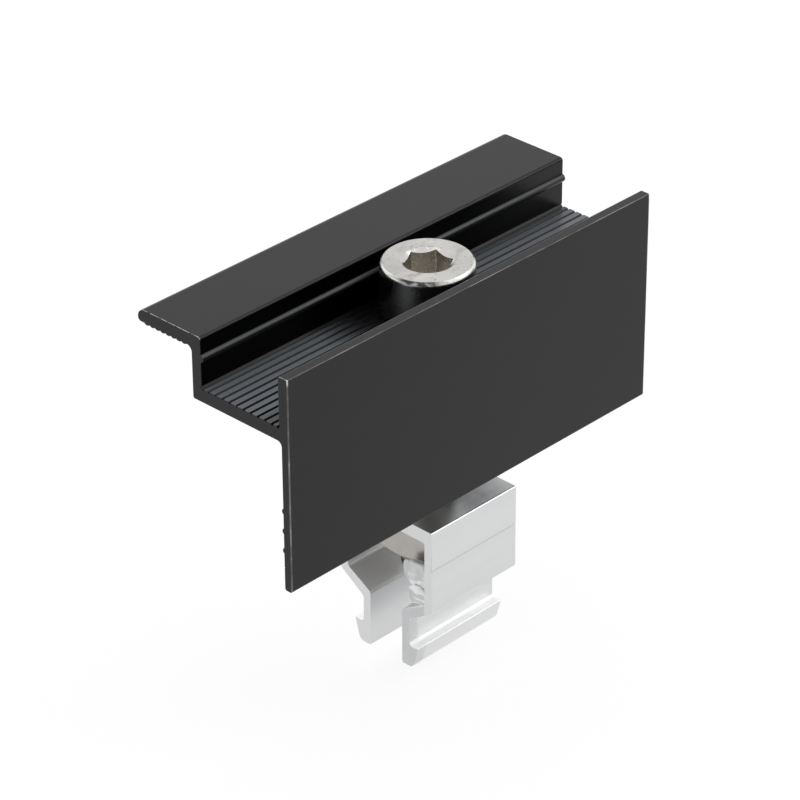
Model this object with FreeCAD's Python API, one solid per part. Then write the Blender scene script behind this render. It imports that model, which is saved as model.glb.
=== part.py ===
import FreeCAD, Part
import math
import os

# Solar end clamp, in millimetres.
# X runs along the clamp, +Y points to the solar module and +Z points up.
# The origin is on the screw's axis, level with the rail face that the plate's foot stands on.

# Clamp profile: what the module and the screw's head ask for
clamp_length = 70.0
module_frame_height = 30.0
flange_reach = 10.1
flange_wall = 2.1
channel_width = 14.2
channel_depth = 7.5

# Clamp profile: walls
web_wall = 1.7
plate_wall = 1.7
skirt_wall = 1.3
floor_wall = 2.1

# Clamp profile: rounded corners and fillets
nose_top_radius = 1.25
nose_under_radius = 0.6
web_top_radius = 0.5
plate_inner_radius = 0.4
plate_outer_radius = 0.15
foot_radius = 0.35
skirt_fillet = 0.8
web_foot_radius = 0.3
flange_fillet = 0.9

# Clamp profile: ridges under the flange that grip the module frame
grip_ridge_pitch = 1.0
grip_ridge_height = 0.2

# Clamp profile: grooves along the floor of the channel
floor_groove_pitch = 1.3
floor_groove_width = 0.45
floor_groove_depth = 0.3

# Clamp profile: bead along the web, below the flange's top face
bead_radius = 0.6
bead_height = 0.5
bead_drop = 3.1

# Clamp profile: small ribs inside the skirt, below the floor's underside
skirt_rib_radius = 0.5
skirt_rib_height = 0.25
skirt_rib_pitch = 3.0
skirt_rib_count = 3
skirt_rib_drop = 10.4
skirt_line_rise = 3.5
skirt_line_depth = 0.12

# Cap screw
screw_diameter = 8.0
screw_tip_reach = 4.1
head_diameter = 13.0
head_height = 7.7
head_chamfer_width = 0.4
head_chamfer_height = 0.5
neck_fillet = 0.4
socket_across_flats = 6.0
socket_depth = 4.0
socket_turn = -5.4
socket_mouth_diameter = 7.3
socket_point_depth = 0.8
tip_chamfer = 0.8

# Square nut
nut_width = 13.0
nut_height = 6.0
nut_chamfer_angle = 30.0
nut_chamfer_diameter = 12.0
nut_countersink = 0.5

# Rail clip
clip_length = 17.0
clip_width = 17.4
clip_top_wall = 2.1
clip_side_wall = 1.4
clip_wall_height = 13.0
clip_shoulder_height = 2.9
clip_neck_width = 8.8
clip_neck_wall = 1.4
clip_height = 23.6
clip_inner_rise = 0.8
clip_inner_drop = 2.5
barb_reach = 1.7
barb_height = 3.6
barb_lift = 0.15
barb_flank = 1.0
clip_corner_radius = 0.3
clip_shoulder_radius = 0.6
clip_heel_radius = 1.0
clip_line_drop = 6.1
clip_line_depth = 0.12

# Clearances
screw_hole_clearance = 0.5
thread_clearance = 0.05
clip_drop = 3.2

# Levels and faces that follow from the sizes above
GRIP_LEVEL = module_frame_height
TOP_LEVEL = GRIP_LEVEL + flange_wall
FLOOR_LEVEL = TOP_LEVEL - channel_depth
FLOOR_UNDERSIDE = FLOOR_LEVEL - floor_wall
CHANNEL_HALF = channel_width / 2.0
WEB_OUTER = CHANNEL_HALF + web_wall
FLANGE_TIP = WEB_OUTER + flange_reach
PLATE_OUTER = -CHANNEL_HALF - plate_wall
SKIRT_INNER = PLATE_OUTER + skirt_wall
CLIP_TOP = -clip_drop
CLIP_SEAT = CLIP_TOP - clip_top_wall
NUT_UNDERSIDE = CLIP_SEAT - nut_height
SCREW_TIP = NUT_UNDERSIDE - screw_tip_reach
HOLE_RADIUS = screw_diameter / 2.0 + screw_hole_clearance


def rounded_face(corners):
    """Flat face in the YZ plane from (y, z, corner radius), each corner rounded by a tangent arc."""
    points = [FreeCAD.Vector(0.0, y, z) for y, z, radius in corners]
    count = len(points)
    trimmed = []
    for index in range(count):
        corner = points[index]
        radius = corners[index][2]
        back = (points[index - 1] - corner).normalize()
        ahead = (points[(index + 1) % count] - corner).normalize()
        if radius <= 0.0:
            trimmed.append((corner, None, corner))
            continue
        half_angle = back.getAngle(ahead) / 2.0
        run = radius / math.tan(half_angle)
        middle = (back + ahead).normalize()
        depth = radius / math.sin(half_angle) - radius
        trimmed.append((corner + back * run, corner + middle * depth, corner + ahead * run))
    edges = []
    for index in range(count):
        start, middle, end = trimmed[index]
        if middle is not None:
            edges.append(Part.Arc(start, middle, end).toShape())
        following = trimmed[(index + 1) % count][0]
        if end.distanceToPoint(following) > 1e-6:
            edges.append(Part.LineSegment(end, following).toShape())
    return Part.Face(Part.Wire(edges))


def extruded(face, length):
    """Bar of the given section, centred on the YZ plane."""
    bar = face.extrude(FreeCAD.Vector(length, 0.0, 0.0))
    bar.translate(FreeCAD.Vector(-length / 2.0, 0.0, 0.0))
    return bar


def round_bar(y, z, radius, length):
    """Round bar along X, centred on the YZ plane."""
    start = FreeCAD.Vector(-length / 2.0, y, z)
    return Part.makeCylinder(radius, length, start, FreeCAD.Vector(1.0, 0.0, 0.0))


def vee_bar(y, z, across, into, width, depth, length):
    """Three-sided bar that cuts a vee groove into a face at (y, z).

    across is the direction along the face and into points into the metal.
    """
    mouth = FreeCAD.Vector(0.0, y, z)
    outside = mouth - into * depth
    corners = [outside - across * width, mouth + into * depth, outside + across * width]
    outline = Part.makePolygon(corners + corners[:1])
    return extruded(Part.Face(outline), length)


def upright_cylinder(radius, low, high):
    """Round bar on the screw's axis between two levels."""
    return Part.makeCylinder(radius, high - low, FreeCAD.Vector(0.0, 0.0, low))


def clamp_section():
    """Outline of the extruded clamp: flange, web, floor and plate, without its fine ridges."""
    flange_underside = GRIP_LEVEL + grip_ridge_height
    return rounded_face([
        (FLANGE_TIP, flange_underside, nose_under_radius),
        (FLANGE_TIP, TOP_LEVEL, nose_top_radius),
        (CHANNEL_HALF, TOP_LEVEL, web_top_radius),
        (CHANNEL_HALF, FLOOR_LEVEL, 0.0),
        (-CHANNEL_HALF, FLOOR_LEVEL, 0.0),
        (-CHANNEL_HALF, TOP_LEVEL, plate_inner_radius),
        (PLATE_OUTER, TOP_LEVEL, plate_outer_radius),
        (PLATE_OUTER, 0.0, foot_radius),
        (SKIRT_INNER, 0.0, foot_radius),
        (SKIRT_INNER, FLOOR_UNDERSIDE, skirt_fillet),
        (WEB_OUTER, FLOOR_UNDERSIDE, web_foot_radius),
        (WEB_OUTER, flange_underside, flange_fillet),
    ])


def grip_ridges():
    """Rounded ridges under the flange, from the web's fillet to the rounded nose."""
    first = WEB_OUTER + flange_fillet + grip_ridge_pitch / 2.0
    last = FLANGE_TIP - nose_under_radius - grip_ridge_pitch / 2.0
    count = int((last - first) / grip_ridge_pitch + 1e-6) + 1
    half_pitch = grip_ridge_pitch / 2.0
    radius = (half_pitch ** 2 + grip_ridge_height ** 2) / (2.0 * grip_ridge_height)
    ridges = []
    for index in range(count):
        y = first + index * grip_ridge_pitch
        ridge = round_bar(y, GRIP_LEVEL + radius, radius, clamp_length)
        under_flange = Part.makeBox(
            clamp_length,
            grip_ridge_pitch,
            flange_wall / 2.0,
            FreeCAD.Vector(-clamp_length / 2.0, y - half_pitch, GRIP_LEVEL),
        )
        ridges.append(ridge.common(under_flange))
    return ridges


def skirt_ribs():
    """Small rounded ribs along the inside of the plate, below the floor."""
    y = SKIRT_INNER + skirt_rib_height - skirt_rib_radius
    top = FLOOR_UNDERSIDE - skirt_rib_drop
    return [
        round_bar(y, top - index * skirt_rib_pitch, skirt_rib_radius, clamp_length)
        for index in range(skirt_rib_count)
    ]


def floor_grooves():
    """Vee grooves along the floor, plus one in each corner of the channel."""
    count = int(channel_width / floor_groove_pitch)
    middle = (count - 1) / 2.0
    places = [(index - middle) * floor_groove_pitch for index in range(count)]
    corner = CHANNEL_HALF - floor_groove_width / 2.0
    across = FreeCAD.Vector(0.0, 1.0, 0.0)
    down = FreeCAD.Vector(0.0, 0.0, -1.0)
    return [
        vee_bar(y, FLOOR_LEVEL, across, down, floor_groove_width, floor_groove_depth, clamp_length)
        for y in [-corner] + places + [corner]
    ]


def clamp_profile():
    """Black extruded clamp with the screw's clearance hole in the middle of its floor."""
    body = extruded(clamp_section(), clamp_length)
    bead = round_bar(
        CHANNEL_HALF - bead_height + bead_radius,
        TOP_LEVEL - bead_drop,
        bead_radius,
        clamp_length,
    )
    body = body.multiFuse([bead] + skirt_ribs() + grip_ridges())
    skirt_line = vee_bar(
        SKIRT_INNER,
        skirt_line_rise,
        FreeCAD.Vector(0.0, 0.0, 1.0),
        FreeCAD.Vector(0.0, -1.0, 0.0),
        skirt_line_depth,
        skirt_line_depth,
        clamp_length,
    )
    hole = upright_cylinder(HOLE_RADIUS, FLOOR_UNDERSIDE - floor_wall, FLOOR_LEVEL + floor_wall)
    return body.cut(floor_grooves() + [skirt_line, hole]).removeSplitter()


def hexagon(across_flats, turn, level):
    """Level hexagon with two flats facing along X, turned by the given angle."""
    reach = across_flats / math.sqrt(3.0)
    corners = []
    for index in range(7):
        angle = math.radians(30.0 + turn + 60.0 * index)
        corners.append(FreeCAD.Vector(reach * math.cos(angle), reach * math.sin(angle), level))
    return Part.Face(Part.makePolygon(corners))


def screw_blank():
    """Turned screw without its socket: chamfered head, filleted neck and chamfered tip."""
    head_radius = head_diameter / 2.0
    shank_radius = screw_diameter / 2.0
    head_top = FLOOR_LEVEL + head_height
    neck_middle = neck_fillet * (1.0 - math.sqrt(0.5))
    outline = [
        FreeCAD.Vector(0.0, 0.0, head_top),
        FreeCAD.Vector(head_radius - head_chamfer_width, 0.0, head_top),
        FreeCAD.Vector(head_radius, 0.0, head_top - head_chamfer_height),
        FreeCAD.Vector(head_radius, 0.0, FLOOR_LEVEL),
        FreeCAD.Vector(shank_radius + neck_fillet, 0.0, FLOOR_LEVEL),
        FreeCAD.Vector(shank_radius, 0.0, FLOOR_LEVEL - neck_fillet),
        FreeCAD.Vector(shank_radius, 0.0, SCREW_TIP + tip_chamfer),
        FreeCAD.Vector(shank_radius - tip_chamfer, 0.0, SCREW_TIP),
        FreeCAD.Vector(0.0, 0.0, SCREW_TIP),
    ]
    edges = [Part.LineSegment(outline[index], outline[index + 1]).toShape() for index in range(8)]
    neck = FreeCAD.Vector(shank_radius + neck_middle, 0.0, FLOOR_LEVEL - neck_middle)
    edges[4] = Part.Arc(outline[4], neck, outline[5]).toShape()
    edges.append(Part.LineSegment(outline[8], outline[0]).toShape())
    half_section = Part.Face(Part.Wire(edges))
    return half_section.revolve(FreeCAD.Vector(0.0, 0.0, 0.0), FreeCAD.Vector(0.0, 0.0, 1.0), 360.0)


def cap_screw():
    """Screw with a cylindrical head and a hexagon socket, its head seated on the channel's floor."""
    head_top = FLOOR_LEVEL + head_height
    socket_floor = head_top - socket_depth
    socket = hexagon(socket_across_flats, socket_turn, socket_floor)
    socket = socket.extrude(FreeCAD.Vector(0.0, 0.0, head_height))
    mouth_radius = socket_mouth_diameter / 2.0
    mouth = Part.makeCone(
        0.0,
        mouth_radius,
        mouth_radius,
        FreeCAD.Vector(0.0, 0.0, head_top - mouth_radius),
    )
    point = Part.makeCone(
        0.0,
        socket_across_flats / 2.0,
        socket_point_depth,
        FreeCAD.Vector(0.0, 0.0, socket_floor - socket_point_depth),
    )
    return screw_blank().cut([socket, mouth, point]).removeSplitter()


def square_nut():
    """Square nut under the clip's top wall, with its lower corners turned off."""
    half = nut_width / 2.0
    low = NUT_UNDERSIDE
    nut = Part.makeBox(nut_width, nut_width, nut_height, FreeCAD.Vector(-half, -half, low))
    slope = math.tan(math.radians(nut_chamfer_angle))
    tip_radius = nut_chamfer_diameter / 2.0
    wide_radius = tip_radius + nut_height / slope
    turned = Part.makeCone(tip_radius, wide_radius, nut_height, FreeCAD.Vector(0.0, 0.0, low))
    bore_radius = screw_diameter / 2.0 + thread_clearance
    bore = upright_cylinder(bore_radius, low - 1.0, CLIP_SEAT + 1.0)
    lower_sink = Part.makeCone(
        bore_radius + nut_countersink,
        bore_radius,
        nut_countersink,
        FreeCAD.Vector(0.0, 0.0, low),
    )
    upper_sink = Part.makeCone(
        bore_radius,
        bore_radius + nut_countersink,
        nut_countersink,
        FreeCAD.Vector(0.0, 0.0, CLIP_SEAT - nut_countersink),
    )
    return nut.common(turned).cut([bore, lower_sink, upper_sink]).removeSplitter()


def clip_section():
    """Outline of the extruded clip: channel, sloping shoulders, neck legs and barbed feet."""
    half = clip_width / 2.0
    inner_half = half - clip_side_wall
    neck_outer = clip_neck_width / 2.0
    neck_inner = neck_outer - clip_neck_wall
    wall_foot = CLIP_TOP - clip_wall_height
    shoulder_foot = wall_foot - clip_shoulder_height
    inner_foot = wall_foot + clip_inner_rise
    foot = CLIP_TOP - clip_height
    barb_tip = foot + barb_height
    barb_outer = neck_outer + barb_reach
    right = [
        (half, CLIP_TOP, clip_corner_radius),
        (half, wall_foot, clip_shoulder_radius),
        (neck_outer, shoulder_foot, clip_shoulder_radius),
        (neck_outer, barb_tip - barb_lift, clip_shoulder_radius),
        (barb_outer, barb_tip, clip_corner_radius / 2.0),
        (barb_outer - barb_flank, foot, clip_heel_radius),
        (neck_inner, foot, clip_corner_radius),
        (neck_inner, inner_foot - clip_inner_drop, clip_shoulder_radius),
        (inner_half, inner_foot, clip_shoulder_radius),
        (inner_half, CLIP_SEAT, clip_corner_radius),
    ]
    left = [(-y, z, radius) for y, z, radius in reversed(right)]
    return rounded_face(right + left)


def rail_clip():
    """Extruded clip that snaps into the rail, with the screw's clearance hole in its top wall."""
    body = extruded(clip_section(), clip_length)
    up = FreeCAD.Vector(0.0, 0.0, 1.0)
    lines = []
    for side in (-1.0, 1.0):
        inwards = FreeCAD.Vector(0.0, -side, 0.0)
        face = side * clip_width / 2.0
        level = CLIP_TOP - clip_line_drop
        lines.append(vee_bar(face, level, up, inwards, clip_line_depth, clip_line_depth, clip_length))
    hole = upright_cylinder(HOLE_RADIUS, CLIP_SEAT - clip_top_wall, CLIP_TOP + clip_top_wall)
    return body.cut(lines + [hole]).removeSplitter()


def write_parts():
    os.makedirs("parts", exist_ok=True)
    nodes = {
        "clamp_profile": clamp_profile(),
        "cap_screw": cap_screw(),
        "square_nut": square_nut(),
        "rail_clip": rail_clip(),
    }
    for name, shape in nodes.items():
        shape.exportStep("parts/" + name + ".step")
        box = shape.BoundBox
        print(
            name,
            "solids", len(shape.Solids),
            "valid", shape.isValid(),
            "volume", round(shape.Volume, 2),
            "box", [round(value, 2) for value in (box.XMin, box.YMin, box.ZMin, box.XMax, box.YMax, box.ZMax)],
        )


write_parts()
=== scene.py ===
import bpy
import bmesh
import math
from mathutils import Matrix, Vector


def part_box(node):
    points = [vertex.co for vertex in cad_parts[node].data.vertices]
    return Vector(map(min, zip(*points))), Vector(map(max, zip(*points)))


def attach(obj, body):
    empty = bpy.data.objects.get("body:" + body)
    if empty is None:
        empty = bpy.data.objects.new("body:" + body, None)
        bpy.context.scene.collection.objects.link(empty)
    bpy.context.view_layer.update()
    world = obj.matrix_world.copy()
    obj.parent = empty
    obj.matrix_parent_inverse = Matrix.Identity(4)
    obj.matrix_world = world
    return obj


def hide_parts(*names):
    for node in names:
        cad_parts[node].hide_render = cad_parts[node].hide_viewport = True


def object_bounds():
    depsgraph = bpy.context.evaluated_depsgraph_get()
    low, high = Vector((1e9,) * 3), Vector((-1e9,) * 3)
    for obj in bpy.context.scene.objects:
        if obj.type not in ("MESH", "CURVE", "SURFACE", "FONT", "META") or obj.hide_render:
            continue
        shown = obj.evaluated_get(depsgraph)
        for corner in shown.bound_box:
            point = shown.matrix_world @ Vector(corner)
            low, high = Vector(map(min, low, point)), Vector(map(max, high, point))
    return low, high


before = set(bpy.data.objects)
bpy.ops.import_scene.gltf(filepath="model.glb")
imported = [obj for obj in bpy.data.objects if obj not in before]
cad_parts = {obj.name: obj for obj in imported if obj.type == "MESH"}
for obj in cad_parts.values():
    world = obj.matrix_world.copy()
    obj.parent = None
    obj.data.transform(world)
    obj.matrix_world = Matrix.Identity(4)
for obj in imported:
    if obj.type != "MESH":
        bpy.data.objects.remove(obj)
cad_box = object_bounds()


# Studio: a long lens a little above the clamp and to its plate's side, with the near end of the
# clamp to the left. The pale floor lies just below the lowest level that the clip's feet reach when
# the screw is run out. The room is evenly white, with soft lamps overhead and to the right.

camera_azimuth = math.radians(-45.981)
camera_elevation = math.radians(30.635)
camera_roll = math.radians(-0.347)
camera_aim = Vector((-0.00264, 0.00273, 0.0107))
camera_distance = 0.50833

camera_data = bpy.data.cameras.new("camera")
camera_data.sensor_width = 36.0
camera_data.lens = 168.43
camera_data.clip_start = 0.01
camera_data.clip_end = 20.0
camera = bpy.data.objects.new("camera", camera_data)
bpy.context.collection.objects.link(camera)
turn = (
    Matrix.Rotation(camera_azimuth, 4, "Z")
    @ Matrix.Rotation(math.pi / 2 - camera_elevation, 4, "X")
    @ Matrix.Rotation(camera_roll, 4, "Z")
)
back = Matrix.Translation((0.0, 0.0, camera_distance))
camera.matrix_world = Matrix.Translation(camera_aim) @ turn @ back
bpy.context.scene.camera = camera
bpy.context.scene.view_settings.view_transform = "Standard"


class Signal:
    """One output of a material's nodes. Sums on it add Math nodes."""

    def __init__(self, finish, output):
        self.finish = finish
        self.output = output

    def maths(self, operation, first, second=None):
        values = {0: first}
        if second is not None:
            values[1] = second
        return self.finish.node("ShaderNodeMath", {"operation": operation}, values)

    def __add__(self, other):
        return self.maths("ADD", self, other)

    def __radd__(self, other):
        return self.maths("ADD", other, self)

    def __sub__(self, other):
        return self.maths("SUBTRACT", self, other)

    def __rsub__(self, other):
        return self.maths("SUBTRACT", other, self)

    def __mul__(self, other):
        return self.maths("MULTIPLY", self, other)

    def __rmul__(self, other):
        return self.maths("MULTIPLY", other, self)

    def __truediv__(self, other):
        return self.maths("DIVIDE", self, other)

    def __abs__(self):
        return self.maths("ABSOLUTE", self)

    def sine(self):
        return self.maths("SINE", self)


class Finish:
    """A surface finish that is built up node by node."""

    def __init__(self, owner):
        self.tree = owner.node_tree
        self.tree.nodes.clear()

    def node(self, kind, settings=None, values=None, output=0):
        """A node with these settings, and then these values or links on its sockets."""
        made = self.tree.nodes.new(kind)
        for name, setting in (settings or {}).items():
            setattr(made, name, setting)
        for name, value in (values or {}).items():
            if isinstance(value, Signal):
                self.tree.links.new(value.output, made.inputs[name])
            else:
                made.inputs[name].default_value = value
        return Signal(self, made.outputs[output]) if len(made.outputs) else None

    def place(self):
        """The point on the piece, in metres from the frame's origin."""
        return self.node("ShaderNodeTexCoord", output="Object")

    def facing(self):
        """The x, y and z of the way that the surface faces."""
        return self.axes(self.node("ShaderNodeNewGeometry", output="True Normal"))

    def axes(self, vector):
        """The x, y and z of a vector."""
        split = self.node("ShaderNodeSeparateXYZ", {}, {0: vector}).output.node
        return [Signal(self, output) for output in split.outputs]

    def point(self, x, y, z):
        """The vector with these three parts."""
        return self.node("ShaderNodeCombineXYZ", {}, {"X": x, "Y": y, "Z": z})

    def length(self, x, y, z):
        """How long the vector x, y, z is."""
        return self.node(
            "ShaderNodeVectorMath",
            {"operation": "LENGTH"},
            {0: self.point(x, y, z)},
            output="Value",
        )

    def noise(self, vector, scale, detail=2.0, roughness=0.5):
        """Soft cloudy values between 0 and 1 around 0.5."""
        return self.node(
            "ShaderNodeTexNoise",
            {"noise_dimensions": "3D"},
            {"Vector": vector, "Scale": scale, "Detail": detail, "Roughness": roughness},
        )

    def step(self, value, low, high):
        """0 below low, 1 above high and a smooth rise between, or a fall if low is larger."""
        return self.node(
            "ShaderNodeMapRange",
            {"interpolation_type": "SMOOTHSTEP"},
            {"Value": value, "From Min": low, "From Max": high},
        )

    def mixed(self, amount, first, second):
        """One colour fading into the other."""
        return self.node(
            "ShaderNodeMix",
            {"data_type": "RGBA"},
            {0: amount, 6: first, 7: second},
            output=2,
        )

    def bump(self, relief, strength, depth=0.00003):
        """Relief this many metres deep, which isn't in the mesh."""
        return self.node(
            "ShaderNodeBump",
            {},
            {"Strength": strength, "Distance": depth, "Height": relief},
        )

    def shade(self, values):
        """Gives the material its shader, with these values."""
        shader = self.node("ShaderNodeBsdfPrincipled", {}, values)
        self.node("ShaderNodeOutputMaterial", {}, {"Surface": shader})


def material(name):
    """A new material, and the finish that its nodes are built with."""
    made = bpy.data.materials.new(name)
    made.use_nodes = True
    return made, Finish(made)


def seen_white(finish):
    """1 for a ray from the camera or a shiny or clear surface, and 0 for plain light."""
    rays = finish.node("ShaderNodeLightPath").output.node.outputs
    camera_ray, glossy_ray, clear_ray = (
        Signal(finish, rays[kind])
        for kind in ("Is Camera Ray", "Is Glossy Ray", "Is Transmission Ray")
    )
    return camera_ray + glossy_ray + clear_ray


white = (1.0, 1.0, 1.0, 1.0)
room_light = 0.62

world = bpy.data.worlds.new("white room")
world.use_nodes = True
bpy.context.scene.world = world
room = Finish(world)
room_white = room.node(
    "ShaderNodeBackground",
    {},
    {"Color": white, "Strength": seen_white(room) * (1.0 - room_light) + room_light},
)
room.node("ShaderNodeOutputWorld", {}, {"Surface": room_white})

clip_drop = 0.0041
floor_level = cad_box[0].z - clip_drop
floor_width = 4.0
floor_paint = (0.9, 0.9, 0.9, 1.0)
floor_glow = 1.08
glow_share = 0.8

bpy.ops.object.select_all(action="DESELECT")
bpy.ops.mesh.primitive_plane_add(size=floor_width, location=(0.0, 0.0, floor_level))
floor = bpy.context.object
floor.name = "floor"
pale, paint = material("pale floor")
painted = paint.node("ShaderNodeBsdfDiffuse", {}, {"Color": floor_paint})
glowing = paint.node("ShaderNodeEmission", {}, {"Color": white, "Strength": floor_glow})
painted = paint.node(
    "ShaderNodeMixShader",
    {},
    {0: seen_white(paint) * glow_share, 1: painted, 2: glowing},
)
paint.node("ShaderNodeOutputMaterial", {}, {"Surface": painted})
floor.data.materials.append(pale)


def soft_lamp(name, place, width, strength):
    """A square soft lamp that faces the clamp."""
    lamp_data = bpy.data.lights.new(name, "AREA")
    lamp_data.size = width
    lamp_data.energy = strength
    lamp = bpy.data.objects.new(name, lamp_data)
    bpy.context.collection.objects.link(lamp)
    away = Vector(place)
    lamp.matrix_world = Matrix.Translation(away) @ away.to_track_quat("Z", "Y").to_matrix().to_4x4()


soft_lamp("overhead lamp", place=(0.12, 0.22, 0.75), width=0.65, strength=1.5)
soft_lamp("right lamp", place=(0.62, -0.46, 0.56), width=0.36, strength=1.1)


# Clamp: one length of extruded aluminium, sawn to 70 mm, drilled for the screw and then anodised
# black. The die leaves fine lines along it, the saw leaves shallow arcs on both ends, and the sharp
# edges are rubbed a little bare by handling.

clamp_low, clamp_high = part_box("clamp_profile")
clamp_half = clamp_high.x
plate_face = clamp_low.y
clamp_top = clamp_high.z
floor_crest = 0.0246
floor_underside = 0.0225
channel_half = 0.0071
bead_level = 0.029
hole_radius = 0.0045

tolerance = 0.00001
weld_gap = 0.000001
clamp_burr = 0.00008
hole_burr = 0.0002
saw_across, saw_height = 0.085, -0.02

dye_deep = (0.003, 0.003, 0.0032, 1.0)
dye_thin = (0.007, 0.007, 0.0074, 1.0)
painted_shade_black = (0.0, 0.0, 0.0, 1.0)
floor_dust = (0.15, 0.163, 0.18, 1.0)
bead_painted_highlight = (0.075, 0.08, 0.083, 1.0)
bare_metal = (0.62, 0.62, 0.615, 1.0)


def only_selected(piece):
    """Selects this piece and nothing else."""
    bpy.ops.object.select_all(action="DESELECT")
    piece.select_set(True)
    bpy.context.view_layer.objects.active = piece


def copy_of(node, name):
    """A piece with a CAD node's shape, its loose triangles joined and its flat faces made whole."""
    piece = bpy.data.objects.new(name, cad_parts[node].data.copy())
    bpy.context.collection.objects.link(piece)
    piece.data.materials.clear()
    only_selected(piece)
    bpy.ops.object.mode_set(mode="EDIT")
    bpy.ops.mesh.select_all(action="SELECT")
    bpy.ops.mesh.remove_doubles(threshold=weld_gap)
    bpy.ops.mesh.customdata_custom_splitnormals_clear()
    bpy.ops.mesh.dissolve_limited(angle_limit=math.radians(0.5))
    bpy.ops.object.mode_set(mode="OBJECT")
    return piece


def rounded(piece, width, segments, wanted):
    """Bevels the edges that wanted(edge) picks."""
    only_selected(piece)
    bpy.ops.object.mode_set(mode="EDIT")
    bpy.ops.mesh.select_all(action="DESELECT")
    bpy.ops.mesh.select_mode(type="EDGE")
    shape = bmesh.from_edit_mesh(piece.data)
    for edge in shape.edges:
        edge.select = len(edge.link_faces) == 2 and wanted(edge)
    shape.select_flush_mode()
    bmesh.update_edit_mesh(piece.data)
    bpy.ops.mesh.bevel(offset=width, segments=segments, affect="EDGES", clamp_overlap=False)
    bpy.ops.object.mode_set(mode="OBJECT")


def around_end(half_length):
    """Picks the outline of a bar's two sawn ends."""

    def wanted(edge):
        at_end = all(abs(abs(vertex.co.x) - half_length) < tolerance for vertex in edge.verts)
        across = sorted(abs(face.normal.x) for face in edge.link_faces)
        return at_end and across[0] < 0.5 and across[1] > 0.9

    return wanted


def around_hole(level):
    """Picks the rim of the screw's clearance hole at one level."""

    def wanted(edge):
        return all(
            abs(vertex.co.z - level) < tolerance
            and abs(vertex.co.xy.length - hole_radius) < 2.0 * tolerance
            for vertex in edge.verts
        )

    return wanted


def smoothed(piece, degrees):
    """Shades round faces smoothly, while the large flat ones stay flat."""
    only_selected(piece)
    bpy.ops.object.shade_smooth_by_angle(angle=math.radians(degrees))
    flatten = piece.modifiers.new("flat faces", "WEIGHTED_NORMAL")
    flatten.keep_sharp = True
    flatten.weight = 100
    bpy.ops.object.modifier_apply(modifier=flatten.name)


def saw_marks(finish, across, height, wobble, lines, swing):
    """Shallow arcs round the blade's centre, from which across and height are measured."""
    return (finish.length(0.0, across, height) * lines + wobble * swing).sine() * 0.5 + wobble


clamp = copy_of("clamp_profile", "clamp")
rounded(clamp, clamp_burr, 2, around_end(clamp_half))
rounded(clamp, hole_burr, 2, around_hole(floor_underside))
smoothed(clamp, 32.0)

black, dye = material("black anodised aluminium")
place = dye.place()
along, across, height = dye.axes(place)
facing_x, facing_y, facing_z = dye.facing()

die_lines = dye.noise(dye.point(along * 9.0, across * 2600.0, height * 2600.0), 1.0, 3.0, 0.6)
die_bands = dye.noise(dye.point(along * 3.0, across * 420.0, height * 420.0), 1.0, 2.0, 0.5)
grain = dye.noise(place, 9000.0, 2.0, 0.6)
clouds = dye.noise(place, 70.0, 3.0, 0.55)
saw_wobble = dye.noise(place, 240.0, 2.0, 0.5)
chips = dye.noise(place, 1400.0, 3.0, 0.7)
rubs = dye.noise(place, 210.0, 3.0, 0.6)

on_end = dye.step(abs(facing_x), 0.9, 0.97)
end_edge = dye.step(abs(facing_x), 0.1, 0.3) * (1.0 - dye.step(abs(facing_x), 0.85, 0.96))
top_edge = end_edge * dye.step(height, clamp_top - 0.0005, clamp_top - 0.0002)
plate_edge = dye.step(abs(along), clamp_half - 0.00022, clamp_half - 0.00012)
plate_edge = plate_edge * (1.0 - dye.step(across, plate_face + 0.00008, plate_face + 0.00018))
plate_corner = plate_edge * dye.step(height, clamp_top - 0.0012, clamp_top - 0.0003)
long_edges = (
    dye.step(abs(facing_y), 0.2, 0.5)
    * dye.step(facing_z, 0.3, 0.6)
    * dye.step(height, clamp_top - 0.0011, clamp_top - 0.0009)
    * dye.step(0.0 - across, channel_half - 0.0003, channel_half - 0.0001)
)
worn = (
    end_edge * dye.step(chips, 0.54, 0.66) * 0.35
    + top_edge * dye.step(chips, 0.36, 0.5) * 0.7
    + plate_edge * (0.12 + dye.step(rubs, 0.38, 0.66) * 0.25)
    + plate_corner * 0.6
    + long_edges * (0.14 + dye.step(rubs, 0.35, 0.7) * 0.25)
)

in_channel = 1.0 - dye.step(abs(across), channel_half - 0.00005, channel_half + 0.0001)
in_channel = in_channel * (1.0 - dye.step(height, 0.0275, 0.028))
on_land = dye.step(facing_z, 0.8, 0.95) * in_channel
on_land = on_land * dye.step(height, floor_crest - 0.0002, floor_crest - 0.0001)
in_groove = (
    in_channel
    * (1.0 - dye.step(height, floor_crest - 0.0003, floor_crest - 0.0001))
    * dye.step(height, floor_crest - 0.0014, floor_crest - 0.0012)
    * (1.0 - dye.step(abs(facing_x), 0.1, 0.3))
)
on_bead = dye.step(abs(height - bead_level), 0.0007, 0.0006)
on_bead = on_bead * dye.step(abs(across), channel_half, channel_half - 0.00015)
on_web = (
    dye.step(0.0 - facing_y, 0.8, 0.95)
    * dye.step(across, channel_half - 0.0003, channel_half - 0.0001)
    * (1.0 - dye.step(along, 0.01, 0.032) * 0.7)
)
# Painted shade on the lands of the channel's floor: the lighter dust is taken off in the head's
# shadow on its near side, beside the web on the far half and beside the plate.
head_shadow = dye.step(along, -0.018, -0.0075) * dye.step(0.0 - along, -0.006, -0.002)
plate_shade = dye.step(0.0 - across, 0.001, 0.0055)
web_shade = dye.step(across, 0.0035, 0.0065) * dye.step(along, 0.0, 0.01)
dust_with_painted_shade = on_land * (0.75 + die_bands * 0.9)
dust_with_painted_shade = dust_with_painted_shade * (1.0 - head_shadow) * (1.0 - web_shade * 0.6) * (1.0 - plate_shade * 0.55)

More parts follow.
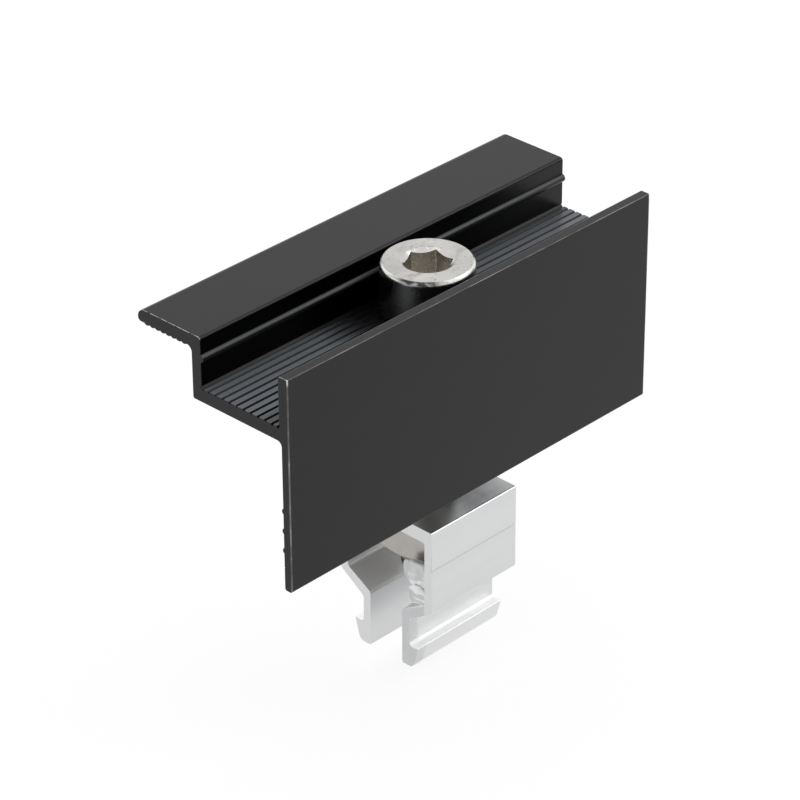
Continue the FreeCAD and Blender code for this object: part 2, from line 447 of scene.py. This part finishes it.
dye_and_painted_light = dye.mixed(die_bands * 0.7 + clouds * 0.3, dye_deep, dye_thin)
dye_and_painted_light = dye.mixed(dust_with_painted_shade, dye_and_painted_light, floor_dust)
# Painted highlight: the upward-facing part of the bead is lightened in patches.
dye_and_painted_light = dye.mixed(on_bead * dye.step(facing_z, 0.1, 0.6) * (0.7 + rubs * 0.6), dye_and_painted_light, bead_painted_highlight)
# Painted shade: the web's inner face and the grooves between the lands are turned black, less so on
# the web towards the far end, for the shade deep in the channel.
dye_and_painted_light = dye.mixed(on_web * 0.85 + in_groove * 0.7, dye_and_painted_light, painted_shade_black)
saw_arcs = saw_marks(
    dye, across - saw_across, height - saw_height, saw_wobble, lines=16000.0, swing=9.0
)
relief = (
    (die_lines - 0.5) * 0.5 * (1.0 - on_end)
    + (grain - 0.5) * 0.3
    + saw_arcs * 0.5 * on_end
)
dye.shade({
    "Base Color": dye.mixed(worn, dye_and_painted_light, bare_metal),
    # Metallic on the web and in the grooves darkens them further, as part of the same painted
    # shade.
    "Metallic": worn * 0.8 + in_groove + on_web * 0.8,
    "Roughness": 0.23 + die_lines * 0.08 + clouds * 0.08 + on_end * 0.1 + in_groove * 0.4,
    "Normal": dye.bump(relief, 0.3),
    "Specular IOR Level": 0.26,
})
clamp.data.materials.append(black)
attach(clamp, "clamp")
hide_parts("clamp_profile")


# Cap screw: a stainless M8 x 40 screw. Its cylindrical head is forged and turned, with a rounded
# rim and a hexagon socket pressed in and countersunk, and its top is scratched and dented. The
# lower 28 mm of the shank carries a rolled thread that runs down into the square nut.

screw_pitch = 0.00125
screw_radius = 0.004
shank_radius = screw_radius - 0.00003
screw_tip = -0.0154
thread_start = 0.0126
thread_root = 0.00325
thread_crest = 0.00396
thread_turns = 27
core_end = thread_start - 0.0014
thread_end = thread_start + 0.0003
tip_radius = 0.0032
tip_height = 0.0018
head_low, head_top = floor_crest, 0.0323
head_radius = 0.0065
head_chamfer = 0.0003
rim_radius = 0.00105
rim_start = 40.0
rim_bends = 6
socket_turn = math.radians(-5.4)
socket_across_flats = 0.006
socket_depth = 0.004
socket_floor = head_top - socket_depth
socket_rounding = 0.00015
point_radius = 0.0028
point_depth = 0.0008
mouth_cutter_radius = 0.00493
mouth_depth = 0.00285
cutter_overlap = 0.001

steel_dark = (0.49, 0.48, 0.46, 1.0)
steel_bright = (0.68, 0.67, 0.655, 1.0)
steel_marked = (0.22, 0.21, 0.2, 1.0)
side_painted_shade = (0.14, 0.14, 0.14, 1.0)
rim_steel = (0.9, 0.9, 0.88, 1.0)
rim_painted_dark_reflection = (0.05, 0.05, 0.05, 1.0)
socket_steel = (0.58, 0.54, 0.48, 1.0)


def drawn(name, points):
    """A line of edges from (x, z) points, drawn one after the other."""
    bpy.ops.object.select_all(action="DESELECT")
    bpy.ops.mesh.primitive_plane_add(size=0.001, location=(0.0, 0.0, 0.0))
    line = bpy.context.object
    line.name = name
    bpy.ops.object.mode_set(mode="EDIT")
    bpy.ops.mesh.select_mode(type="VERT")
    bpy.ops.mesh.select_all(action="SELECT")
    bpy.ops.mesh.merge(type="CENTER")
    bpy.ops.transform.translate(value=(points[0][0], 0.0, points[0][1]))
    for (x, z), (next_x, next_z) in zip(points, points[1:]):
        bpy.ops.mesh.extrude_region_move(
            TRANSFORM_OT_translate={"value": (next_x - x, 0.0, next_z - z)}
        )
    bpy.ops.object.mode_set(mode="OBJECT")
    return line


def turned(name, points, steps):
    """A closed solid spun round the screw's axis from half of its section."""
    solid = drawn(name, points)
    bpy.ops.object.mode_set(mode="EDIT")
    bpy.ops.mesh.select_all(action="SELECT")
    bpy.ops.mesh.spin(steps=steps, angle=math.tau, center=(0.0, 0.0, 0.0), axis=(0.0, 0.0, 1.0))
    bpy.ops.mesh.select_all(action="SELECT")
    bpy.ops.mesh.remove_doubles(threshold=weld_gap)
    bpy.ops.mesh.normals_make_consistent(inside=False)
    bpy.ops.object.mode_set(mode="OBJECT")
    return solid


def cut_by(piece, tool, operation):
    """Joins, cuts or trims the piece with a tool shape, which is then thrown away."""
    only_selected(piece)
    change = piece.modifiers.new("tool", "BOOLEAN")
    change.operation = operation
    change.solver = "EXACT"
    change.object = tool
    bpy.ops.object.modifier_apply(modifier=change.name)
    bpy.data.objects.remove(tool)


rim = []
for bend in range(rim_bends):
    angle = math.radians(rim_start + 10.0 * bend)
    rim.append((
        head_radius - rim_radius * (1.0 - math.sin(angle)),
        head_top - rim_radius * (math.cos(math.radians(rim_start)) - math.cos(angle)),
    ))
screw = turned(
    "cap_screw_threaded",
    [(0.0, head_top)] + rim + [
        (head_radius, head_low + head_chamfer),
        (head_radius - head_chamfer, head_low),
        (screw_radius + 0.0004, head_low),
        (screw_radius + 0.0001, head_low - 0.00012),
        (shank_radius, head_low - 0.0004),
        (shank_radius, thread_start),
        (thread_root - 0.0001, core_end),
        (0.0, core_end),
    ],
    112,
)

bpy.ops.object.select_all(action="DESELECT")
bpy.ops.mesh.primitive_cylinder_add(
    vertices=6,
    radius=socket_across_flats / 2.0 / math.cos(math.pi / 6),
    depth=2.0 * socket_depth,
    location=(0.0, 0.0, head_top),
    rotation=(0.0, 0.0, socket_turn),
)
socket = bpy.context.object
bpy.ops.object.transform_apply(location=True, rotation=True, scale=True)
rounded(
    socket,
    socket_rounding,
    3,
    lambda edge: abs(edge.verts[0].co.z - edge.verts[1].co.z) > 0.001,
)
cut_by(screw, socket, "DIFFERENCE")
point = turned(
    "point",
    [
        (0.0, socket_floor + cutter_overlap),
        (point_radius, socket_floor + cutter_overlap),
        (point_radius, socket_floor),
        (0.0, socket_floor - point_depth),
    ],
    48,
)
cut_by(screw, point, "DIFFERENCE")
mouth = turned(
    "mouth",
    [
        (0.0, head_top + cutter_overlap),
        (mouth_cutter_radius, head_top + cutter_overlap),
        (0.0, head_top - mouth_depth),
    ],
    112,
)
cut_by(screw, mouth, "DIFFERENCE")

thread = drawn("thread", [
    (thread_root, 0.0),
    (thread_root + 0.00004, 0.00013),
    (thread_crest - 0.00003, 0.00052),
    (thread_crest, 0.00056),
    (thread_crest, 0.00069),
    (thread_crest - 0.00003, 0.00073),
    (thread_root + 0.00004, 0.00112),
    (thread_root, screw_pitch),
])
winding = thread.modifiers.new("winding", "SCREW")
winding.axis = "Z"
winding.angle = math.tau
winding.screw_offset = screw_pitch
winding.iterations = thread_turns
winding.steps = 72
winding.render_steps = 72
winding.use_merge_vertices = False
winding.use_normal_calculate = True
only_selected(thread)
bpy.ops.object.modifier_apply(modifier=winding.name)
bpy.ops.object.mode_set(mode="EDIT")
bpy.ops.mesh.select_all(action="SELECT")
bpy.ops.mesh.remove_doubles(threshold=2.0 * weld_gap)
bpy.ops.mesh.select_all(action="SELECT")
bpy.ops.mesh.fill_holes(sides=0)
bpy.ops.transform.translate(value=(0.0, 0.0, screw_tip - 2.5 * screw_pitch))
bpy.ops.mesh.select_all(action="SELECT")
bpy.ops.mesh.normals_make_consistent(inside=False)
bpy.ops.object.mode_set(mode="OBJECT")
thread_room = turned(
    "thread_room",
    [
        (0.0, thread_end),
        (screw_radius + cutter_overlap, thread_end),
        (screw_radius + cutter_overlap, screw_tip + tip_height),
        (tip_radius, screw_tip),
        (0.0, screw_tip),
    ],
    96,
)
cut_by(thread, thread_room, "INTERSECT")
cut_by(screw, thread, "UNION")
smoothed(screw, 26.0)

steel, polish = material("turned stainless steel")
place = polish.place()
x, y, z = polish.axes(place)
facing_z = polish.facing()[2]
radius = polish.length(x, y, 0.0)

on_top = polish.step(facing_z, 0.8, 0.98)
on_side = polish.step(radius, 0.0062, 0.0064) * (1.0 - polish.step(abs(facing_z), 0.1, 0.4))
on_rim = (
    polish.step(radius, 0.00605, 0.0062)
    * polish.step(facing_z, 0.05, 0.2)
    * (1.0 - polish.step(facing_z, 0.9, 0.97))
)
in_socket = (
    (1.0 - polish.step(radius, 0.00345, 0.0036))
    * polish.step(z, 0.027, 0.0272)
    * (1.0 - polish.step(facing_z, 0.2, 0.4))
)
toward_front = (x * -0.858 + y * -0.513) / radius

tool_rings = polish.noise(polish.point(radius * 5200.0, z * 5200.0, 0.0), 1.0, 3.0, 0.6)
clouds = polish.noise(place, 420.0, 3.0, 0.6)
scuffs = polish.noise(polish.point(x * 2600.0, y * 900.0, z * 900.0), 1.0, 4.0, 0.7)
scratches = polish.noise(polish.point(x * 500.0, y * 3400.0, z * 900.0), 1.0, 2.0, 0.5)
scratches = polish.step(scratches, 0.64, 0.7)
dents = polish.step(polish.noise(place, 1300.0, 2.5, 0.55), 0.6, 0.7)
stains = polish.noise(polish.point(x * 300.0, y * 800.0, z * 300.0), 1.0, 4.0, 0.65)
stains = polish.step(stains, 0.5, 0.66)
smudges = polish.noise(polish.point(x * 130.0, y * 130.0, 0.0), 1.0, 2.0, 0.5)
smudges = polish.step(smudges, 0.42, 0.62)
# The top is also darker towards its -X, +Y side.
darker_back_left = polish.step(y - x, -0.001, 0.0085)
rim_streaks = polish.noise(polish.point(x * 1300.0, y * 260.0, z * 2200.0), 1.0, 3.0, 0.6)
rim_streaks = polish.step(rim_streaks, 0.4, 0.56)

top_marks = dents * 0.45 + scratches * 0.4 + stains * 0.3 + smudges * 0.1 + darker_back_left * 0.14
# Painted reflection: the rim goes dark on the side towards -X and -Y, and in streaks further round,
# for the black clamp that it reflects.
rim_dark_reflection_amount = polish.step(toward_front, 0.87, 0.96) * 0.6
rim_dark_reflection_amount = rim_dark_reflection_amount + polish.step(toward_front, 0.55, 0.85) * rim_streaks * 0.4
coloured = polish.mixed(clouds, steel_dark, steel_bright)
coloured = polish.mixed(top_marks * on_top, coloured, steel_marked)
# Painted shade: the head's side is darkened, for the dark channel that it reflects.
coloured = polish.mixed(on_side * 0.6, coloured, side_painted_shade)
coloured = polish.mixed(on_rim * 0.7, coloured, rim_steel)
coloured = polish.mixed(on_rim * rim_dark_reflection_amount, coloured, rim_painted_dark_reflection)
coloured = polish.mixed(in_socket * 0.75, coloured, socket_steel)
relief = (
    (tool_rings - 0.5) * 0.45
    + (scuffs - 0.5) * 0.5 * on_top
    - dents * 0.7 * (1.0 - in_socket)
    - scratches * 0.5 * on_top
)
polish.shade({
    "Base Color": coloured,
    "Metallic": 1.0,
    "Roughness": 0.15 + clouds * 0.1 + scuffs * 0.06 + in_socket * 0.04,
    "Normal": polish.bump(relief, 0.5, 0.00004),
})
screw.data.materials.clear()
screw.data.materials.append(steel)
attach(screw, "screw")
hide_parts("cap_screw")


# Square nut: a stainless M8 nut, pressed and with the corners of its lower face turned off. It sits
# under the clip's top wall, between the side walls that keep it from turning.

nut_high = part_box("square_nut")[1]
nut_rounding = 0.0003

nut_dark = (0.34, 0.325, 0.305, 1.0)
nut_bright = (0.5, 0.48, 0.455, 1.0)


def nut_edge(edge):
    """Picks the nut's upright corners and the outline of its top."""
    upright = abs(edge.verts[0].co.z - edge.verts[1].co.z) > 0.001
    at_corner = all(
        abs(abs(vertex.co.x) - nut_high.x) < tolerance
        and abs(abs(vertex.co.y) - nut_high.y) < tolerance
        for vertex in edge.verts
    )
    at_top = all(
        abs(vertex.co.z - nut_high.z) < tolerance
        and max(abs(vertex.co.x), abs(vertex.co.y)) > nut_high.x - tolerance
        for vertex in edge.verts
    )
    return at_top or (at_corner and upright)


nut = copy_of("square_nut", "square_nut_pressed")
rounded(nut, nut_rounding, 3, nut_edge)
smoothed(nut, 33.0)

dull_steel, press = material("pressed stainless steel")
place = press.place()
x, y, z = press.axes(place)
clouds = press.noise(place, 300.0, 4.0, 0.6)
grain = press.noise(place, 2600.0, 3.0, 0.6)
drawn_lines = press.noise(press.point(x * 700.0, y * 700.0, z * 5000.0), 1.0, 3.0, 0.6)
relief = (drawn_lines - 0.5) * 0.5 + (grain - 0.5) * 0.5
press.shade({
    "Base Color": press.mixed(clouds, nut_dark, nut_bright),
    "Metallic": 1.0,
    "Roughness": 0.28 + clouds * 0.14,
    "Normal": press.bump(relief, 0.4),
})
nut.data.materials.append(dull_steel)
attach(nut, "nut")
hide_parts("square_nut")


# Rail clip: a short length of extruded aluminium in its plain mill finish, sawn off and drilled.
# Its two barbed feet snap into the rail's slot, and metal squeezed over at both ends keeps the nut
# in. Die lines run along every face, and its top is darkened by painted shade from the clamp above.

clip_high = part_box("rail_clip")[1]
inner_wall = 0.0073
shoulder_rounding = 0.00022
clip_burr = 0.0001
clip_saw_across, clip_saw_height = 0.07, 0.05
squeeze_size = 0.0015
squeeze_depth = 0.0008
# Each lump's centre and reach at the near end. The far end has the like, half a turn round.
near_lumps = [
    ((-0.00785, -0.0054, -0.0110), (0.00075, 0.0027, 0.0018)),
    ((-0.0078, -0.0047, -0.0126), (0.0006, 0.0006, 0.0012)),
    ((-0.0079, -0.0058, -0.0147), (0.00075, 0.0020, 0.0015)),
]

mill_dark = (0.64, 0.645, 0.65, 1.0)
mill_bright = (0.74, 0.745, 0.75, 1.0)
painted_top_shade = (0.13, 0.135, 0.14, 1.0)
slope_painted_light = (0.97, 0.97, 0.97, 1.0)


def clip_shoulder(edge):
    """Picks the two long edges of the clip's top."""
    return all(
        abs(vertex.co.z - clip_high.z) < tolerance
        and abs(abs(vertex.co.y) - clip_high.y) < tolerance
        for vertex in edge.verts
    )


clip = copy_of("rail_clip", "rail_clip_extruded")
rounded(clip, shoulder_rounding, 3, clip_shoulder)
rounded(clip, clip_burr, 2, around_end(clip_high.x))
rounded(clip, hole_burr, 2, around_hole(clip_high.z))

rough_cast = bpy.data.textures.new("squeezed metal", "CLOUDS")
rough_cast.noise_scale = squeeze_size
rough_cast.noise_depth = 0
for side in (1.0, -1.0):
    for (x, y, z), reach in near_lumps:
        bpy.ops.object.select_all(action="DESELECT")
        bpy.ops.mesh.primitive_ico_sphere_add(
            subdivisions=4, radius=1.0, location=(side * x, side * y, z), scale=reach
        )
        lump = bpy.context.object
        bpy.ops.object.transform_apply(location=True, rotation=True, scale=True)
        squeezed = lump.modifiers.new("squeezed", "DISPLACE")
        squeezed.texture = rough_cast
        squeezed.texture_coords = "LOCAL"
        squeezed.strength = squeeze_depth
        squeezed.mid_level = 0.5
        bpy.ops.object.modifier_apply(modifier=squeezed.name)
        cut_by(clip, lump, "UNION")
smoothed(clip, 36.0)

mill, draw = material("mill finish aluminium")
place = draw.place()
along, across, height = draw.axes(place)
facing_x, _, facing_z = draw.facing()

die_lines = draw.noise(draw.point(along * 14.0, across * 3200.0, height * 3200.0), 1.0, 4.0, 0.65)
die_bands = draw.noise(draw.point(along * 6.0, across * 520.0, height * 520.0), 1.0, 2.0, 0.5)
clouds = draw.noise(place, 160.0, 3.0, 0.6)
saw_wobble = draw.noise(place, 300.0, 2.0, 0.5)

on_end = draw.step(abs(facing_x), 0.86, 0.97)
inner_slope = (
    (1.0 - draw.step(abs(across), inner_wall + 0.00005, inner_wall + 0.0002))
    * draw.step(abs(facing_z), 0.2, 0.4)
    * draw.step(0.0 - height, 0.0108, 0.0112)
)
at_lumps = (
    draw.step(abs(along), 0.0067, 0.0069)
    * (1.0 - draw.step(abs(across), inner_wall - 0.0001, inner_wall))
    * draw.step(along * across, 0.00002, 0.000024)
    * draw.step(0.0 - height, 0.0083, 0.0086)
)
on_top = draw.step(facing_z, 0.8, 0.95)
on_top = on_top * draw.step(height, clip_high.z - 0.0002, clip_high.z - 0.0001)
# Painted shade on the clip's top, for the clamp that lies over it; it varies along the top and is
# broken up by the die bands and clouds.
top_shade_amount = 0.55 + draw.step(along, -0.004, 0.0015) * 0.4 - draw.step(along, 0.003, 0.0105) * 0.6
top_shade_amount = on_top * top_shade_amount * (0.5 + die_bands * 0.4 + clouds * 0.5)

coloured = draw.mixed(die_bands * 0.6 + clouds * 0.4, mill_dark, mill_bright)
coloured = draw.mixed(top_shade_amount, coloured, painted_top_shade)
# Painted light: the sloping inner faces of the legs, low in the clip, are lightened almost to
# white.
coloured = draw.mixed(inner_slope, coloured, slope_painted_light)
saw_arcs = saw_marks(
    draw, across - clip_saw_across, height - clip_saw_height, saw_wobble, lines=14000.0, swing=8.0
)
relief = (die_lines - 0.5) * 0.6 * (1.0 - on_end) + saw_arcs * 0.6 * on_end
roughness = 0.22 + die_lines * 0.1 + clouds * 0.1 + on_end * 0.12
draw.shade({
    "Base Color": coloured,
    "Metallic": 1.0,
    "Roughness": roughness + inner_slope * 0.25 + at_lumps * 0.3,
    "Normal": draw.bump(relief, 0.35),
})
clip.data.materials.append(mill)
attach(clip, "clip")
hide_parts("rail_clip")


# The scene is brought up to date.

bpy.context.view_layer.update()
